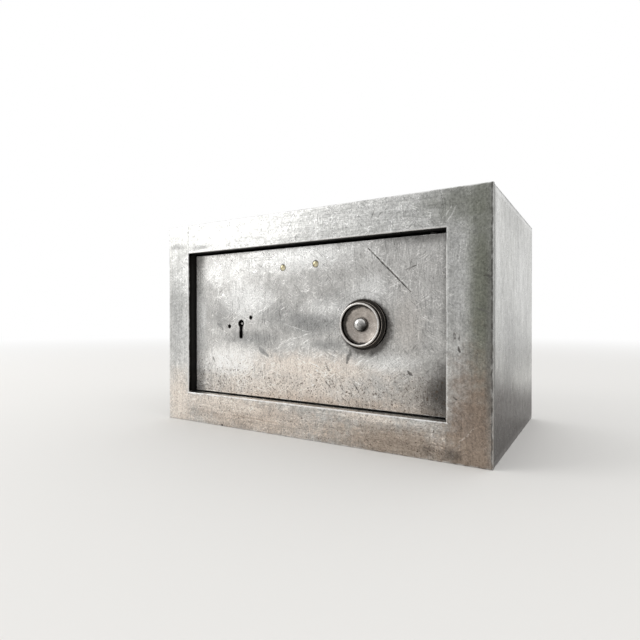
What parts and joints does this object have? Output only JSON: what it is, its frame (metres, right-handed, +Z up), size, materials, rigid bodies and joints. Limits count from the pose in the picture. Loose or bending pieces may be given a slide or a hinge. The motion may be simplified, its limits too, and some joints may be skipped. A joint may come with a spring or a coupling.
{
  "type": "small steel safe",
  "caption": "Small box-shaped steel safe with a recessed hinged door, keyhole, turning dish knob that throws side bolts, and a lined compartment.",
  "frame": {"origin": "middle of the base, at the centre of the case's footprint", "axes": "+Z up, -Y out of the door's front, +X to the right seen from the front"},
  "size_m": [0.3, 0.179, 0.183],
  "materials": {
    "case_steel": "stripped and brushed, cloudy, worn at the edges",
    "frame_steel": "stripped and brushed, worn bright at the arrises",
    "jamb_steel": "dull, oiled, dark",
    "fill": "cast, chalky",
    "liner_paint": "old dark enamel, matt",
    "door_steel": "stripped and brushed, scratched and pitted",
    "door_bar_steel": "filed, oiled",
    "cover_paint": "old dark enamel, matt",
    "screw_steel": "filed flush, slotted",
    "brass": "aged, dull",
    "knob_steel": "turned, polished at the rim",
    "bright_steel": "turned, oiled",
    "spring_steel": "blued",
    "carrier_steel": "filed, oiled",
    "lock_iron": "cast, black"
  },
  "bodies": {
    "case": {"top_plate": "case_steel", "bottom_plate": "case_steel", "left_side_plate": "case_steel", "right_side_plate": "case_steel", "back_plate": "case_steel", "left_stile": "frame_steel", "right_stile": "frame_steel", "top_rail": "frame_steel", "bottom_rail": "frame_steel", "left_jamb": "jamb_steel", "right_jamb": "jamb_steel", "top_jamb": "jamb_steel", "bottom_jamb": "jamb_steel", "left_stop": "jamb_steel", "top_stop": "jamb_steel", "bottom_stop": "jamb_steel", "upper_hinge_block": "jamb_steel", "lower_hinge_block": "jamb_steel", "thrust_washer": "jamb_steel", "fireproof_fill": "fill", "liner_top": "liner_paint", "liner_bottom": "liner_paint", "liner_left": "liner_paint", "liner_right": "liner_paint", "liner_back": "liner_paint"},
    "door": {"door_plate": "door_steel", "door_lock_bar": "door_bar_steel", "door_hinge_bar": "door_bar_steel", "door_top_bar": "door_bar_steel", "door_bottom_bar": "door_bar_steel", "door_cover": "cover_paint", "cover_screws": "screw_steel", "badge_studs": "brass", "knob_rosette": "knob_steel", "spindle_bush": "brass", "upper_hinge_pin": "bright_steel", "lower_hinge_pin": "bright_steel", "carrier_guides": "bright_steel", "guide_washers": "brass", "lock_case": "lock_iron", "lock_cap": "lock_iron", "lock_screws": "screw_steel", "drill_pin": "bright_steel", "lever_pivot": "bright_steel"},
    "knob": {"knob": "knob_steel", "knob_dome": "knob_steel", "knob_spindle": "bright_steel", "crank_disc": "bright_steel", "crank_pin": "bright_steel"},
    "boltwork": {"bolt_carrier": "carrier_steel", "locking_bolts": "bright_steel", "bolt_rivets": "bright_steel"},
    "lock_bolt": {"lock_bolt": "bright_steel"},
    "lever_1": {"lever_1": "brass", "lever_1_spring": "spring_steel"},
    "lever_2": {"lever_2": "brass", "lever_2_spring": "spring_steel"},
    "lever_3": {"lever_3": "brass", "lever_3_spring": "spring_steel"}
  },
  "joints": [
    {"name": "door_swing", "type": "hinge", "parent": "case", "child": "door", "pos_m": [0.1058, -0.0715, 0.0916], "axis": [0, 0, 1], "range_deg": [0, 100]},
    {"name": "knob_turn", "type": "hinge", "parent": "door", "child": "knob", "pos_m": [0.0545, -0.0895, 0.0916], "axis": [0, -1, 0], "range_deg": [0, 90]},
    {"name": "bolt_throw", "type": "slide", "parent": "door", "child": "boltwork", "axis": [-1, 0, 0], "range_m": [0, 0.012]},
    {"name": "lock_bolt_slide", "type": "slide", "parent": "door", "child": "lock_bolt", "axis": [0, 0, 1], "range_m": [0, 0.007]},
    {"name": "lever_1_lift", "type": "hinge", "parent": "door", "child": "lever_1", "pos_m": [-0.0465, -0.0665, 0.078], "axis": [0, 1, 0], "range_deg": [-4, 0]},
    {"name": "lever_2_lift", "type": "hinge", "parent": "door", "child": "lever_2", "pos_m": [-0.0465, -0.0665, 0.078], "axis": [0, 1, 0], "range_deg": [-3.4, 0]},
    {"name": "lever_3_lift", "type": "hinge", "parent": "door", "child": "lever_3", "pos_m": [-0.0465, -0.0665, 0.078], "axis": [0, 1, 0], "range_deg": [-2.8, 0]}
  ],
  "couplings": [
    {"joint": "knob_turn", "follows": "bolt_throw", "rad_per_m": 130.89},
    {"joint": "lever_2_lift", "follows": "lever_1_lift", "ratio": 0.85},
    {"joint": "lever_3_lift", "follows": "lever_1_lift", "ratio": 0.7}
  ]
}
